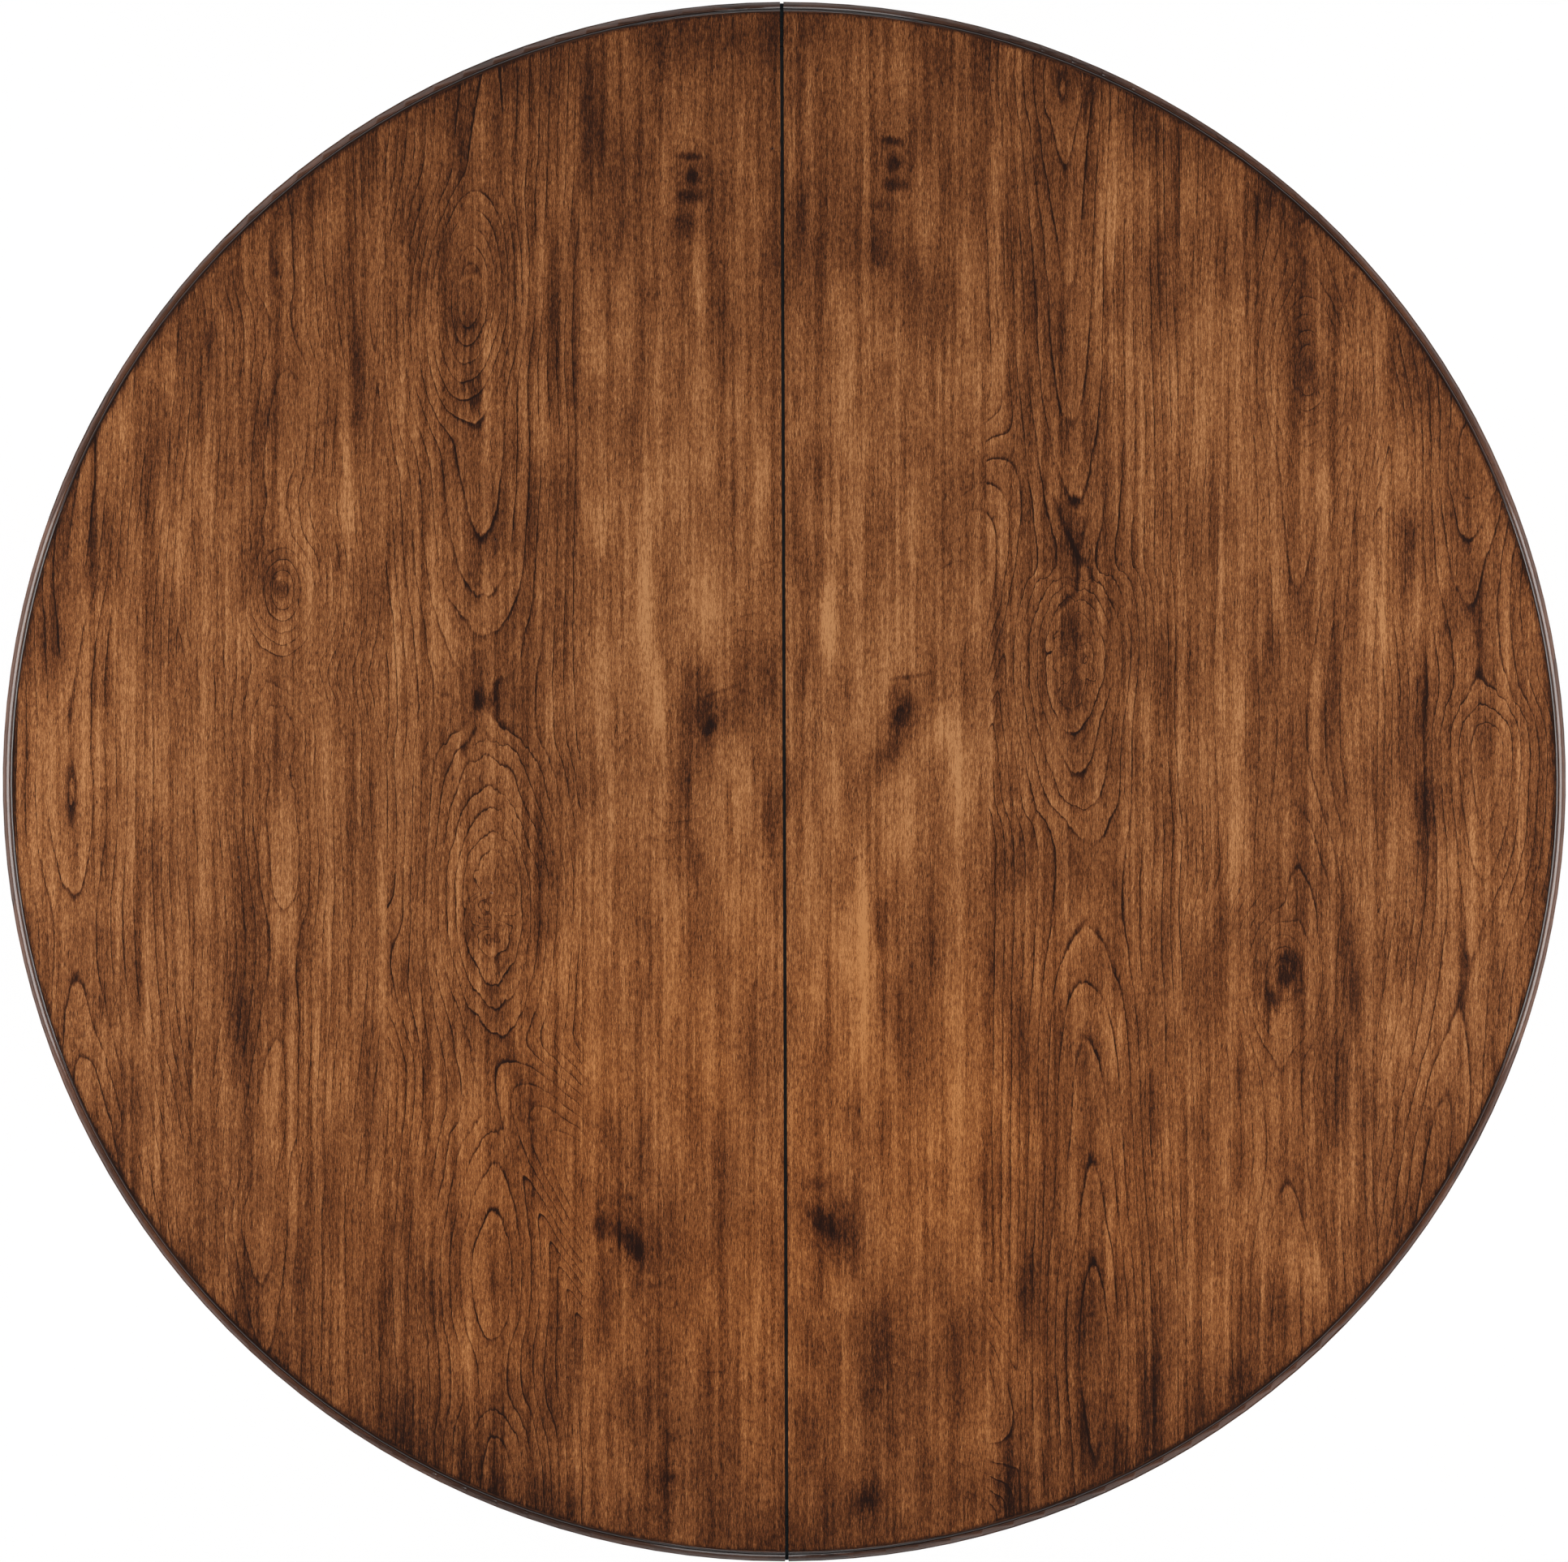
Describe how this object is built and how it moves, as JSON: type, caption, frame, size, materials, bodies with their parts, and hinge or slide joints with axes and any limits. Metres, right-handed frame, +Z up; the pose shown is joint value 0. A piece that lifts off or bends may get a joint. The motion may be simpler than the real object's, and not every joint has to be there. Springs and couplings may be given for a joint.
{
  "type": "round pedestal dining table",
  "caption": "Round extending dining table on a turned pedestal with swept legs; a veneered two-half top with a moulded edge slides open on geared wooden slides.",
  "frame": {"origin": "on the floor under the middle of the column, between the two halves of the closed top", "axes": "+Z up, +Y along the seam of the top, +X the way that the right half slides open"},
  "size_m": [1.3746, 1.372, 0.762],
  "materials": {
    "top_veneer": "satin lacquer over stained figured walnut veneer",
    "edge_wood": "satin lacquer over dark stained solid wood",
    "seam_black": "black stained hardwood",
    "core_board": "raw fibreboard",
    "apron_wood": "satin lacquer over stained walnut veneer",
    "slide_maple": "waxed pale hardwood",
    "gear_nylon": "moulded nylon",
    "zinc_steel": "zinc plated",
    "brass_pin": "turned brass, chemically blackened",
    "pedestal_wood": "satin lacquer over dark stained hardwood",
    "black_steel": "black powder coat",
    "glide_nylon": "moulded brown nylon"
  },
  "bodies": {
    "pedestal": {"centre_rail_front": "slide_maple", "centre_rail_back": "slide_maple", "top_plate": "slide_maple", "gear_axles": "zinc_steel", "plate_screws": "zinc_steel", "capital_screws": "zinc_steel", "leg_bolts": "zinc_steel", "leg_washers": "zinc_steel", "leg_nuts": "zinc_steel", "tie_rod": "zinc_steel", "tie_rod_washers": "zinc_steel", "tie_rod_nuts": "zinc_steel", "column_capital": "pedestal_wood", "column_shaft": "pedestal_wood", "column_collar": "pedestal_wood", "leg_hub": "pedestal_wood", "leg_back_right": "pedestal_wood", "leg_back_left": "pedestal_wood", "leg_front_left": "pedestal_wood", "leg_front_right": "pedestal_wood", "hub_plate": "black_steel", "foot_glides": "glide_nylon"},
    "left_half": {"left_top_panel": "core_board", "left_top_veneer": "top_veneer", "left_edge_moulding": "edge_wood", "left_seam_lip": "seam_black", "left_apron": "apron_wood", "left_apron_blocks": "slide_maple", "left_block_screws": "zinc_steel", "left_rail_front": "slide_maple", "left_rail_back": "slide_maple", "left_rack_front": "gear_nylon", "left_rack_back": "gear_nylon", "left_rail_screws": "zinc_steel", "alignment_pins": "brass_pin", "lock_plates": "zinc_steel", "lock_pivots": "zinc_steel", "lock_plate_screws": "zinc_steel"},
    "right_half": {"right_top_panel": "core_board", "right_top_veneer": "top_veneer", "right_edge_moulding": "edge_wood", "right_seam_lip": "seam_black", "right_apron": "apron_wood", "right_apron_blocks": "slide_maple", "right_block_screws": "zinc_steel", "right_rail_front": "slide_maple", "right_rail_back": "slide_maple", "right_rack_front": "gear_nylon", "right_rack_back": "gear_nylon", "right_rail_screws": "zinc_steel", "pin_bushes": "brass_pin", "lock_keepers": "zinc_steel", "keeper_screws": "zinc_steel"},
    "pinion_front": {"pinion_front": "gear_nylon"},
    "pinion_back": {"pinion_back": "gear_nylon"},
    "lock_lever_front": {"lock_lever_front": "zinc_steel"},
    "lock_lever_back": {"lock_lever_back": "zinc_steel"}
  },
  "joints": [
    {"name": "left_half_slide", "type": "slide", "parent": "pedestal", "child": "left_half", "axis": [-1, 0, 0], "range_m": [0, 0.229]},
    {"name": "right_half_slide", "type": "slide", "parent": "pedestal", "child": "right_half", "axis": [1, 0, 0], "range_m": [0, 0.229]},
    {"name": "pinion_front_turn", "type": "hinge", "parent": "pedestal", "child": "pinion_front", "pos_m": [0, -0.2, 0.695], "axis": [0, 0, 1], "range_deg": [-657, 0]},
    {"name": "pinion_back_turn", "type": "hinge", "parent": "pedestal", "child": "pinion_back", "pos_m": [0, 0.2, 0.695], "axis": [0, 0, 1], "range_deg": [-657, 0]},
    {"name": "lock_lever_front_swing", "type": "hinge", "parent": "left_half", "child": "lock_lever_front", "pos_m": [-0.035, -0.48, 0.7257], "axis": [0, 0, 1], "range_deg": [0, 75]},
    {"name": "lock_lever_back_swing", "type": "hinge", "parent": "left_half", "child": "lock_lever_back", "pos_m": [-0.035, 0.48, 0.7257], "axis": [0, 0, 1], "range_deg": [0, 75]}
  ],
  "couplings": [
    {"joint": "right_half_slide", "follows": "left_half_slide", "ratio": 1},
    {"joint": "pinion_front_turn", "follows": "left_half_slide", "rad_per_m": -50},
    {"joint": "pinion_back_turn", "follows": "left_half_slide", "rad_per_m": -50}
  ]
}
